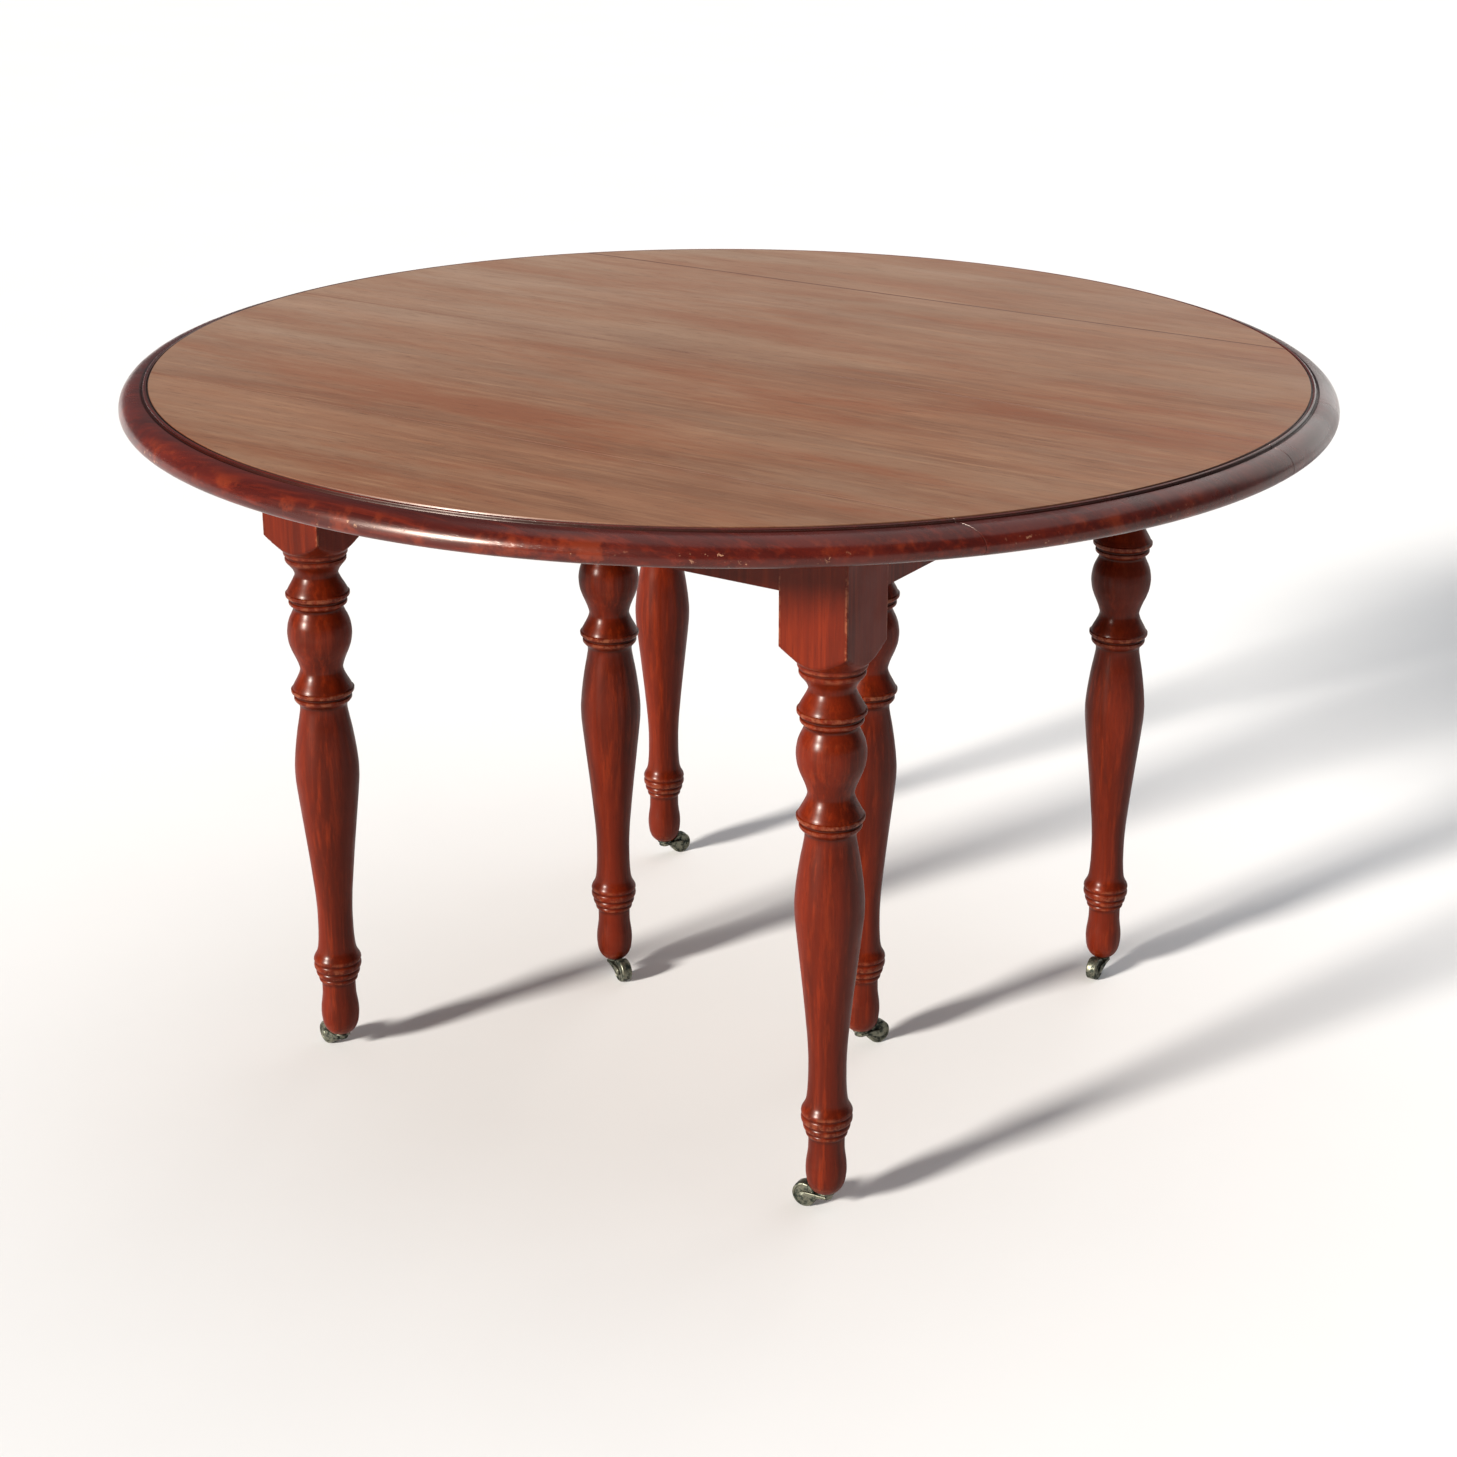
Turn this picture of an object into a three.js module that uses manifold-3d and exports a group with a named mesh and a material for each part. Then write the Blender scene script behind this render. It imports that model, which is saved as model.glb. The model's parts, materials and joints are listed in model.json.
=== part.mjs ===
// Round drop-leaf extension table on six turned legs with brass castors.
// Millimetres, Z up, floor at Z = 0. The leaf joints run along X; the two halves slide apart along Y.
// Front is -Y, rear is +Y, left is -X, right is +X.

import * as THREE from 'three';
import { mergeVertices } from 'three/addons/utils/BufferGeometryUtils.js';
import Module from 'manifold-3d';

const wasm = await Module();
wasm.setup();

// ---------------------------------------------------------------- driving dimensions

const TABLE_HEIGHT = 724;
const TOP_DIAMETER = 1200;
const TOP_THICKNESS = 28;
const LOWER_ROUND = 7; // rounding of the rim's lower edge
const OVOLO_WIDTH = 22;
const QUIRK_DEPTH = 2.6;
const FRAME_HALF = 334; // centre to the outer face of the corner blocks
const JOINT_OVERHANG = 26; // leaf joint beyond the corner blocks
const BLOCK = 70; // square top of every leg
const BLOCK_HEIGHT = 126; // square stretch below the top
const APRON_HEIGHT = 77;
const APRON_THICKNESS = 24;
const END_APRON_SETBACK = 7;
const SIDE_APRON_SETBACK = 2;
const RUNNER_WIDTH = 26;
const RUNNER_HEIGHT = 64;
const RUNNER_DROP = 5; // runners below the underside of the top
const TONGUE_DEPTH = 6;
const TONGUE_HEIGHT = 8;
const CROSS_RAIL_THICKNESS = 24;
const LOPER_WIDTH = 40;
const LOPER_HEIGHT = 30;
const LOPER_LENGTH = 300;
const LOPER_INSET = 28; // corner block to loper centre
const KEEPER_WALL = 10;
const KEEPER_LENGTH = 24;
const KEEPER_INSET = 109; // apron face to keeper centre
const HINGE_LENGTH = 60;
const HINGE_INSET = 61; // end of the leaf joint to hinge centre
const FLAP_WIDTH = 20;
const FLAP_THICKNESS = 2;
const BARREL_RADIUS = 3.4;
const PIN_RADIUS = 1.2;
const MIDDLE_KNUCKLE = 10; // half length
const DOWEL_RADIUS = 5;
const DOWEL_HALF = 20;
const DOWEL_X = 250;
const WHEEL_DIAMETER = 25;
const WHEEL_WIDTH = 12;
const HUB_CLEARANCE = 8.5; // swivel axis to the tread
const FOOT_EDGE_RADIUS = 13.5; // lower edge of the turned foot
const FOOT_EDGE_RISE = 3.5;
const FOOT_CLEARANCE = 1; // between that edge and the tread
const CASTOR_TURN = { // degrees from +X in which each castor trails
  front_left: 166,
  front_right: 185,
  middle_left: -29,
  middle_right: 64,
  rear_left: 63,
  rear_right: -87,
};

const GAP = 0.3; // between pieces that touch
const SLIDE_GAP = 0.4; // round pieces that slide

// ---------------------------------------------------------------- derived heights and places

const TOP_RADIUS = TOP_DIAMETER / 2;
const UNDERSIDE = TABLE_HEIGHT - TOP_THICKNESS;
const FRAME_TOP = UNDERSIDE - GAP;
const APRON_BOTTOM = FRAME_TOP - APRON_HEIGHT;
const BLOCK_FOOT = UNDERSIDE - BLOCK_HEIGHT;
const LEAF_JOINT = FRAME_HALF + JOINT_OVERHANG;
const CORNER = FRAME_HALF - BLOCK / 2; // corner leg axis
const BLOCK_INNER = CORNER - BLOCK / 2;
const END_FACE = FRAME_HALF - END_APRON_SETBACK;
const SIDE_FACE = FRAME_HALF - SIDE_APRON_SETBACK;
const RUNNER_TOP = UNDERSIDE - RUNNER_DROP;
const RUNNER_BOTTOM = RUNNER_TOP - RUNNER_HEIGHT;
const RUNNER_END = END_FACE - APRON_THICKNESS - 16;
const RUNNER_PITCH = RUNNER_WIDTH + SLIDE_GAP; // from one runner of a set of three to the next
const LOPER_X = BLOCK_INNER - LOPER_INSET;
const LOPER_TOP = UNDERSIDE - 0.5;
const LOPER_BOTTOM = LOPER_TOP - LOPER_HEIGHT;
const KEEPER_INNER = LOPER_WIDTH / 2 + SLIDE_GAP;
const RUNNER_EDGE = LOPER_X - KEEPER_INNER - KEEPER_WALL - 6.2; // outermost runner's outer face
const MIDDLE_LEG_X = RUNNER_EDGE - RUNNER_WIDTH / 2 - RUNNER_PITCH;
const HINGE_AXIS_Z = UNDERSIDE - 4;
const HINGE_OUTER = LEAF_JOINT + BARREL_RADIUS + FLAP_WIDTH;
const HINGE_X = Math.sqrt(TOP_RADIUS ** 2 - HINGE_OUTER ** 2) - HINGE_INSET;
const WHEEL_RADIUS = WHEEL_DIAMETER / 2;
const HORN_TOP = WHEEL_RADIUS + 4.7;
const PLATE_BOTTOM = HORN_TOP + GAP;
const PLATE_TOP = PLATE_BOTTOM + 2.5;
const FOOT_BASE = PLATE_TOP + GAP;
const DRAWN_FOOT_BASE = 20; // heights between which the turning is drawn
const DRAWN_BLOCK_FOOT = 570;
const LEG_STRETCH = (BLOCK_FOOT - FOOT_BASE) / (DRAWN_BLOCK_FOOT - DRAWN_FOOT_BASE);
const EDGE_ABOVE_AXLE = FOOT_BASE + FOOT_EDGE_RISE * LEG_STRETCH - WHEEL_RADIUS;
const TRAIL_CLEAR_OF_FOOT = FOOT_EDGE_RADIUS
  + Math.sqrt((WHEEL_RADIUS + FOOT_CLEARANCE) ** 2 - EDGE_ABOVE_AXLE ** 2);
const TRAIL_CLEAR_OF_HUB = WHEEL_RADIUS + HUB_CLEARANCE;
const CASTOR_TRAIL = Math.max(TRAIL_CLEAR_OF_FOOT, TRAIL_CLEAR_OF_HUB); // swivel axis to wheel axle

const FRONT_REAR = [{ end: 'front', ySide: -1 }, { end: 'rear', ySide: 1 }];
const LEFT_RIGHT = [{ hand: 'left', xSide: -1 }, { hand: 'right', xSide: 1 }];

const MAHOGANY = { color: 0x6e2c18, roughness: 0.4, metalness: 0 };
const TOP_WOOD = { color: 0x94654f, roughness: 0.45, metalness: 0 };
const INNER_WOOD = { color: 0x8a5a3a, roughness: 0.7, metalness: 0 };
const BRASS = { color: 0x5a5236, roughness: 0.5, metalness: 0.8 };
const IRON = { color: 0x4a4643, roughness: 0.6, metalness: 0.7 };

const group = new THREE.Group();
group.name = 'drop_leaf_extension_table';

// ---------------------------------------------------------------- geometry helpers

function toSolid(geometry) {
  const bare = geometry.clone();
  bare.deleteAttribute('normal');
  bare.deleteAttribute('uv');
  const merged = mergeVertices(bare, 1e-4);
  const corners = merged.index.array;
  const kept = [];
  for (let i = 0; i < corners.length; i += 3) {
    const [a, b, c] = corners.slice(i, i + 3);
    if (a !== b && b !== c && c !== a) kept.push(a, b, c);
  }
  return new wasm.Manifold(new wasm.Mesh({
    numProp: 3,
    vertProperties: new Float32Array(merged.attributes.position.array),
    triVerts: new Uint32Array(kept),
  }));
}

function box(x, y, z) {
  const size = [x, y, z].map(([a, b]) => Math.abs(b - a));
  const centre = [x, y, z].map(([a, b]) => (a + b) / 2);
  return toSolid(new THREE.BoxGeometry(...size).translate(...centre));
}

// Revolve [radius, height] points round the Z axis.
function revolve(points, segments) {
  const outline = points.map(([radius, height]) => new THREE.Vector2(radius, height));
  return toSolid(new THREE.LatheGeometry(outline, segments).rotateX(Math.PI / 2));
}

// Round bar along X, Y or Z between two ends, through the point given.
function bar(axis, radius, [from, to], [x, y, z], segments) {
  const rod = new THREE.CylinderGeometry(radius, radius, to - from, segments);
  rod.translate(0, (from + to) / 2, 0);
  if (axis === 'x') rod.rotateZ(-Math.PI / 2);
  if (axis === 'z') rod.rotateX(Math.PI / 2);
  return toSolid(rod.translate(x, y, z));
}

// Extrude an outline drawn in the YZ plane along X.
function extrudeX(outline, [from, to]) {
  const geometry = new THREE.ExtrudeGeometry(outline, {
    depth: to - from, bevelEnabled: false, curveSegments: 5,
  });
  const turned = new THREE.Matrix4().makeBasis(
    new THREE.Vector3(0, 1, 0), new THREE.Vector3(0, 0, 1), new THREE.Vector3(1, 0, 0));
  return toSolid(geometry.applyMatrix4(turned).translate(from, 0, 0));
}

function add(name, solid, look) {
  const { vertProperties, triVerts } = solid.getMesh();
  const geometry = new THREE.BufferGeometry();
  geometry.setAttribute('position', new THREE.BufferAttribute(new Float32Array(vertProperties), 3));
  geometry.setIndex(new THREE.BufferAttribute(new Uint32Array(triVerts), 1));
  const flat = geometry.toNonIndexed();
  flat.computeVertexNormals();
  const mesh = new THREE.Mesh(flat, new THREE.MeshStandardMaterial(look));
  mesh.name = name;
  group.add(mesh);
}

const mirrored = (side, a, b) => [side * a, side * b];
const around = (centre, half) => [centre - half, centre + half];

// ---------------------------------------------------------------- round top

// Points on a quarter of an ellipse, as [radius, height].
function ellipse([centreX, centreZ], [radiusX, radiusZ], degrees) {
  return degrees.map((d) => {
    const angle = THREE.MathUtils.degToRad(d);
    return [centreX + radiusX * Math.cos(angle), centreZ + radiusZ * Math.sin(angle)];
  });
}

// Edge moulding from the underside up: rounded lower edge, one large ovolo, quirk, small bead, flat top.
function topOutline() {
  const noseZ = UNDERSIDE + LOWER_ROUND;
  const ovoloHeight = TOP_THICKNESS - LOWER_ROUND - QUIRK_DEPTH;
  return [
    [0, UNDERSIDE],
    [TOP_RADIUS - LOWER_ROUND, UNDERSIDE],
    ...ellipse([TOP_RADIUS - LOWER_ROUND, noseZ], [LOWER_ROUND, LOWER_ROUND], [-45, 0]),
    ...ellipse([TOP_RADIUS - OVOLO_WIDTH, noseZ], [OVOLO_WIDTH, ovoloHeight], [20, 40, 62, 86]),
    [TOP_RADIUS - OVOLO_WIDTH - 1, TABLE_HEIGHT - QUIRK_DEPTH - 1.4],
    [TOP_RADIUS - OVOLO_WIDTH - 4, TABLE_HEIGHT - 1],
    [TOP_RADIUS - OVOLO_WIDTH - 6, TABLE_HEIGHT - 2],
    [TOP_RADIUS - OVOLO_WIDTH - 7, TABLE_HEIGHT],
    [0, TABLE_HEIGHT],
  ];
}

const DOWEL_Z = TABLE_HEIGHT - TOP_THICKNESS / 2;

function makeTop() {
  const disc = revolve(topOutline(), 64);
  const wide = [-TOP_DIAMETER, TOP_DIAMETER];
  for (const { end, ySide } of FRONT_REAR) {
    const leafBand = box(wide, mirrored(ySide, LEAF_JOINT + GAP, TOP_DIAMETER), [0, 2 * TABLE_HEIGHT]);
    const halfBand = box(wide, mirrored(ySide, GAP, LEAF_JOINT - GAP), [0, 2 * TABLE_HEIGHT]);
    let half = disc.intersect(halfBand);
    for (const { xSide } of LEFT_RIGHT) {
      const reach = around(0, DOWEL_HALF + GAP);
      half = half.subtract(bar('y', DOWEL_RADIUS + 0.5, reach, [xSide * DOWEL_X, 0, DOWEL_Z], 12));
    }
    add(`leaf_${end}`, disc.intersect(leafBand), TOP_WOOD);
    add(`half_top_${end}`, half, TOP_WOOD);
  }
  for (const { hand, xSide } of LEFT_RIGHT) {
    const dowel = bar('y', DOWEL_RADIUS, around(0, DOWEL_HALF), [xSide * DOWEL_X, 0, DOWEL_Z], 12);
    add(`split_dowel_${hand}`, dowel, INNER_WOOD);
  }
}

// ---------------------------------------------------------------- legs

// Necks and swells of the turning as [radius, height]; the heights stretch with the leg.
const TURNING = [
  [9.5, DRAWN_FOOT_BASE], [FOOT_EDGE_RADIUS, DRAWN_FOOT_BASE + FOOT_EDGE_RISE],
  [17, 29], [19.4, 46], [17.2, 76], [20, 85], [22.3, 91.5], [24.3, 99], [24.3, 107], [20, 117],
  [17.9, 156], [24.7, 239], [31, 298], [32.2, 318], [28.4, 358], [23.4, 389], [30.4, 408],
  [21.2, 428], [29.2, 453], [31.8, 467], [29.4, 481], [24.7, 494], [31.2, 508.5], [21.5, 528],
  [31.2, 546], [32.6, 552], [50, DRAWN_BLOCK_FOOT],
];

function makeLeg(name, x, y, top) {
  const rise = (height) => FOOT_BASE + (height - DRAWN_FOOT_BASE) * LEG_STRETCH;
  const turned = TURNING.map(([radius, height]) => [radius, rise(height)]);
  const spindle = revolve([[0, FOOT_BASE], ...turned, [50, top], [0, top]], 16);
  const blank = box(around(0, BLOCK / 2), around(0, BLOCK / 2), [FOOT_BASE, top]);
  const socket = bar('z', 3 + GAP, [FOOT_BASE - 1, FOOT_BASE + 20], [0, 0, 0], 8);
  add(name, spindle.intersect(blank).subtract(socket).translate([x, y, 0]), MAHOGANY);
}

// ---------------------------------------------------------------- castors

// Built pointing along +X from the swivel axis, then turned and moved to its leg.
function makeCastor(place, x, y) {
  const put = (solid) => solid.rotate([0, 0, CASTOR_TURN[place]]).translate([x, y, 0]);
  const sideGap = WHEEL_WIDTH / 2 + SLIDE_GAP;
  const sideOut = sideGap + 2;

  const stem = bar('z', 3, [PLATE_BOTTOM, FOOT_BASE + 19], [0, 0, 0], 8);
  const pivot = bar('z', 2.2, [WHEEL_RADIUS + 0.6, PLATE_TOP - 1], [0, 0, 0], 12);
  const plate = bar('z', 8.8, [PLATE_BOTTOM, PLATE_TOP], [0, 0, 0], 16).add(stem).add(pivot);
  add(`castor_plate_${place}`, put(plate), BRASS);

  const hub = bar('z', 6.8, [WHEEL_RADIUS + 0.1, HORN_TOP], [0, 0, 0], 16);
  const bridge = box([-4, 7.4], around(0, sideOut), [WHEEL_RADIUS + 1.6, HORN_TOP]);
  const cheekOutline = new THREE.Shape();
  cheekOutline.moveTo(2, HORN_TOP);
  cheekOutline.lineTo(2, WHEEL_RADIUS + 1.6);
  cheekOutline.lineTo(CASTOR_TRAIL, WHEEL_RADIUS - 4.5);
  cheekOutline.absarc(CASTOR_TRAIL, WHEEL_RADIUS, 4.5, -Math.PI / 2, Math.PI / 2);
  const cheeks = extrudeX(cheekOutline, around(0, sideOut)).rotate([0, 0, -90]);
  const wheelSpace = box([7.5, CASTOR_TRAIL * 2], around(0, sideGap), [0, 2 * HORN_TOP]);
  const axle = bar('y', 1.8, around(0, sideOut), [CASTOR_TRAIL, 0, WHEEL_RADIUS], 10);
  const rivet = bar('y', 3, around(0, sideOut + 1), [CASTOR_TRAIL, 0, WHEEL_RADIUS], 10);
  const swivelHole = bar('z', 2.2 + GAP, [0, 2 * HORN_TOP], [0, 0, 0], 12);
  const horn = hub.add(bridge).add(cheeks).add(rivet).subtract(wheelSpace).add(axle);
  add(`castor_horn_${place}`, put(horn.subtract(swivelHole)), BRASS);

  const half = WHEEL_WIDTH / 2;
  const tread = [
    [1.8 + GAP, -half], [WHEEL_RADIUS - 1.5, -half], [WHEEL_RADIUS, 1.5 - half],
    [WHEEL_RADIUS, half - 1.5], [WHEEL_RADIUS - 1.5, half], [1.8 + GAP, half], [1.8 + GAP, -half],
  ];
  const wheel = revolve(tread, 16).rotate([90, 0, 0]).translate([CASTOR_TRAIL, 0, WHEEL_RADIUS]);
  add(`castor_wheel_${place}`, put(wheel), BRASS);
}

function makeLegsAndCastors() {
  for (const { hand, xSide } of LEFT_RIGHT) {
    for (const { end, ySide } of FRONT_REAR) {
      makeLeg(`leg_${end}_${hand}`, xSide * CORNER, ySide * CORNER, FRAME_TOP);
      makeCastor(`${end}_${hand}`, xSide * CORNER, ySide * CORNER);
    }
    makeLeg(`leg_middle_${hand}`, xSide * MIDDLE_LEG_X, 0, RUNNER_BOTTOM - GAP);
    makeCastor(`middle_${hand}`, xSide * MIDDLE_LEG_X, 0);
  }
}

// ---------------------------------------------------------------- frame

function makeAprons() {
  const height = [APRON_BOTTOM, FRAME_TOP];
  const reach = BLOCK_INNER - GAP;
  for (const { end, ySide } of FRONT_REAR) {
    const thick = mirrored(ySide, END_FACE - APRON_THICKNESS, END_FACE);
    let apron = box([-reach, reach], thick, height);
    for (const { xSide } of LEFT_RIGHT) {
      const slotX = around(xSide * LOPER_X, KEEPER_INNER);
      const slotY = mirrored(ySide, 0, TOP_DIAMETER);
      apron = apron.subtract(box(slotX, slotY, [LOPER_BOTTOM - SLIDE_GAP, TABLE_HEIGHT]));
    }
    add(`end_apron_${end}`, apron, MAHOGANY);
    for (const { hand, xSide } of LEFT_RIGHT) {
      const face = mirrored(xSide, SIDE_FACE - APRON_THICKNESS, SIDE_FACE);
      add(`side_apron_${end}_${hand}`, box(face, mirrored(ySide, GAP, reach), height), MAHOGANY);
    }
  }
}

// Each side has three runners side by side: the rear half's inside, the carriage's in the middle
// with a tongue on both faces, the front half's outside.
function makeRunners() {
  const height = [RUNNER_BOTTOM, RUNNER_TOP];
  const middle = (RUNNER_BOTTOM + RUNNER_TOP) / 2;
  const tongueX = (x) => around(x, RUNNER_WIDTH / 2 + TONGUE_DEPTH);
  const fixedEnd = END_FACE - APRON_THICKNESS - GAP;
  for (const { hand, xSide } of LEFT_RIGHT) {
    const x = xSide * MIDDLE_LEG_X;
    const along = [-RUNNER_END, RUNNER_END];
    const body = box(around(x, RUNNER_WIDTH / 2), along, height);
    const tongue = box(tongueX(x), along, around(middle, TONGUE_HEIGHT / 2));
    add(`carriage_runner_${hand}`, body.add(tongue), INNER_WOOD);

    const groove = box(
      around(x, RUNNER_WIDTH / 2 + TONGUE_DEPTH + SLIDE_GAP),
      [-TOP_DIAMETER, TOP_DIAMETER],
      around(middle, TONGUE_HEIGHT / 2 + SLIDE_GAP));
    const outside = around(x + xSide * RUNNER_PITCH, RUNNER_WIDTH / 2);
    const inside = around(x - xSide * RUNNER_PITCH, RUNNER_WIDTH / 2);
    const frontRunner = box(outside, [-fixedEnd, RUNNER_END], height);
    const rearRunner = box(inside, [-RUNNER_END, fixedEnd], height);
    add(`runner_front_${hand}`, frontRunner.subtract(groove), INNER_WOOD);
    add(`runner_rear_${hand}`, rearRunner.subtract(groove), INNER_WOOD);
  }
  const railReach = MIDDLE_LEG_X - BLOCK / 2 - GAP;
  const railHeight = [BLOCK_FOOT + 6, RUNNER_BOTTOM - 5];
  const railThick = around(0, CROSS_RAIL_THICKNESS / 2);
  add('carriage_cross_rail', box([-railReach, railReach], railThick, railHeight), INNER_WOOD);
}

// ---------------------------------------------------------------- leaf supports and hinges

function makeLopers() {
  const outerEnd = END_FACE + 2;
  const innerEnd = outerEnd - LOPER_LENGTH;
  for (const { end, ySide } of FRONT_REAR) {
    for (const { hand, xSide } of LEFT_RIGHT) {
      const x = xSide * LOPER_X;
      const outline = new THREE.Shape();
      outline.moveTo(ySide * innerEnd, LOPER_BOTTOM);
      outline.lineTo(ySide * (outerEnd - 12), LOPER_BOTTOM);
      outline.lineTo(ySide * outerEnd, LOPER_BOTTOM + 12);
      outline.lineTo(ySide * outerEnd, LOPER_TOP);
      outline.lineTo(ySide * innerEnd, LOPER_TOP);
      add(`loper_${end}_${hand}`, extrudeX(outline, around(x, LOPER_WIDTH / 2)), INNER_WOOD);

      const y = around(ySide * (END_FACE - KEEPER_INSET), KEEPER_LENGTH / 2);
      const floor = LOPER_BOTTOM - SLIDE_GAP;
      const outside = box(around(x, KEEPER_INNER + KEEPER_WALL), y, [floor - KEEPER_WALL - 2, FRAME_TOP]);
      const channel = box(around(x, KEEPER_INNER), around(0, TOP_DIAMETER), [floor, TABLE_HEIGHT]);
      add(`loper_keeper_${end}_${hand}`, outside.subtract(channel), INNER_WOOD);
    }
  }
}

// One flap with its share of the barrel. `out` is +1 for the flap on the leaf, -1 under the half top.
function hingeFlap(x, ySide, out, knuckles) {
  const flapTop = UNDERSIDE - GAP;
  const near = LEAF_JOINT + out * (BARREL_RADIUS + 0.5);
  const plateZ = [flapTop - FLAP_THICKNESS, flapTop];
  const whole = around(x, HINGE_LENGTH / 2);
  let flap = box(whole, mirrored(ySide, near, near + out * FLAP_WIDTH), plateZ);
  for (const span of knuckles) {
    const ends = [x + span[0], x + span[1]];
    const web = mirrored(ySide, LEAF_JOINT, near + out);
    flap = flap.add(box(ends, web, [plateZ[0], HINGE_AXIS_Z + BARREL_RADIUS]));
    flap = flap.add(bar('x', BARREL_RADIUS, ends, [0, ySide * LEAF_JOINT, HINGE_AXIS_Z], 12));
  }
  return flap;
}

function makeHinges() {
  for (const { end, ySide } of FRONT_REAR) {
    for (const { hand, xSide } of LEFT_RIGHT) {
      const x = xSide * HINGE_X;
      const outer = HINGE_LENGTH / 2;
      const inner = MIDDLE_KNUCKLE + GAP;
      const centre = [0, ySide * LEAF_JOINT, HINGE_AXIS_Z];
      const pin = bar('x', PIN_RADIUS, around(x, outer), centre, 10);
      const pinHole = bar('x', PIN_RADIUS + GAP, around(x, outer), centre, 10);
      const fixed = hingeFlap(x, ySide, -1, [[-outer, -inner], [inner, outer]]).add(pin);
      const moving = hingeFlap(x, ySide, 1, [[-MIDDLE_KNUCKLE, MIDDLE_KNUCKLE]]).subtract(pinHole);
      add(`hinge_fixed_${end}_${hand}`, fixed, IRON);
      add(`hinge_moving_${end}_${hand}`, moving, IRON);
    }
  }
}

makeTop();
makeLegsAndCastors();
makeAprons();
makeRunners();
makeLopers();
makeHinges();

export default group;
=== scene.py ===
"""Looks for the round drop-leaf extension table: polished mahogany, worn top, aged brass castors."""

import json
import math

import bmesh
import bpy
from mathutils import Matrix, Vector


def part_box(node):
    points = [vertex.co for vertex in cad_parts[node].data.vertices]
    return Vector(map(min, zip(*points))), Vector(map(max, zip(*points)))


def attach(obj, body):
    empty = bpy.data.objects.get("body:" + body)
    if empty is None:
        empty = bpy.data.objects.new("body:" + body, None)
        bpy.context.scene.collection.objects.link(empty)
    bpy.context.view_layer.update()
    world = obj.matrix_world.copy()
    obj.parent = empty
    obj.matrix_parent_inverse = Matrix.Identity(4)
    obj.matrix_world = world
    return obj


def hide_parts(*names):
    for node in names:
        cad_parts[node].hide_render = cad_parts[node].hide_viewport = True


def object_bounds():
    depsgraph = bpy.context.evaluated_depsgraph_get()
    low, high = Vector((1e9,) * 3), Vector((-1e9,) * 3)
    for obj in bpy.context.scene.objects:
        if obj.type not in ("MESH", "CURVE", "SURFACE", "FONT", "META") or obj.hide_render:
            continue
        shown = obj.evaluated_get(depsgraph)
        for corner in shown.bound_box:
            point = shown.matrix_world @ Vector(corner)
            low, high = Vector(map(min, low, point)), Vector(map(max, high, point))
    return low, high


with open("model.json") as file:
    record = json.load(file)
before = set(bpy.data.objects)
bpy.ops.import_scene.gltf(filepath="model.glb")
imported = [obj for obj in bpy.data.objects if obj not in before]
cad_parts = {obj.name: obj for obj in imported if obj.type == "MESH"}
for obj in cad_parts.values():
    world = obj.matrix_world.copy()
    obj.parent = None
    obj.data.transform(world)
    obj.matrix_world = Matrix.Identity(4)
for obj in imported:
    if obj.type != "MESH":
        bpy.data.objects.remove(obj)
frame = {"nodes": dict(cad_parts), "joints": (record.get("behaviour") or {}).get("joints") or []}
CAD_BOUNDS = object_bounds()

MM = 0.001
ENDS = {"front": -1, "rear": 1}
HANDS = {"left": -1, "right": 1}
CORNERS = [f"{end}_{hand}" for end in ENDS for hand in HANDS]
PLACES = CORNERS + [f"middle_{hand}" for hand in HANDS]

# ------------------------------------------------------------------ sizes of the fine shapes, mm

RIM_SEGMENTS = 288
JOINT_ROUNDING = 0.15  # worn edges of the boards at each joint
BOARD_ROUNDING = 1.0  # eased edges of the wooden pieces that keep their CAD shape

# Edge moulding of the top: distances in from the widest line of the rim, and depths below the top.
LOWER_ROUND = 7
OVOLO_WIDTH = 22
OVOLO_HEIGHT = 18.4
OUTER_QUIRK = 23.2
OUTER_QUIRK_DEPTH = 3.8
BEAD = 25.4
BEAD_WIDTH = 3.6
BEAD_RISE = 1.6
INNER_QUIRK = 28.1
INNER_QUIRK_DEPTH = 2.0
MOULDING_WIDTH = 29

GAP = 0.3  # clearance between castor pieces that turn on each other
WHEEL_HALF_WIDTH = 6
WHEEL_BORE = 2.1
AXLE_RADIUS = 1.7
RIVET_RADIUS = 2.9
RIVET_STAND = 0.9  # rivet heads beyond the cheeks
CHEEK_INNER = 6.4  # faces of a cheek, from the middle of the wheel
CHEEK_OUTER = 8.4
SHOULDER_DEPTH = 3
EYE_RADIUS = 4.4
HUB_RADIUS = 6.6
PLATE_RADIUS = 8.6
CASTING_DETAIL = 0.45  # size of the cells that a casting is shaped from

BLOCK_CORNER = 1.2  # rounding of the square blocks
CORNER_REACH = 1.36  # share of a block's half width past which its surface is its corner
RING_SEGMENTS = 72
RING_SPACING = 1.6  # greatest height between the rings of vertices on the turning
FULLY_WORN = 1.2  # how far a ring stands out where its polish is rubbed through
FULLY_GRIMY = 1.5  # how deep a groove is where it is filled with dirt

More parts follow.
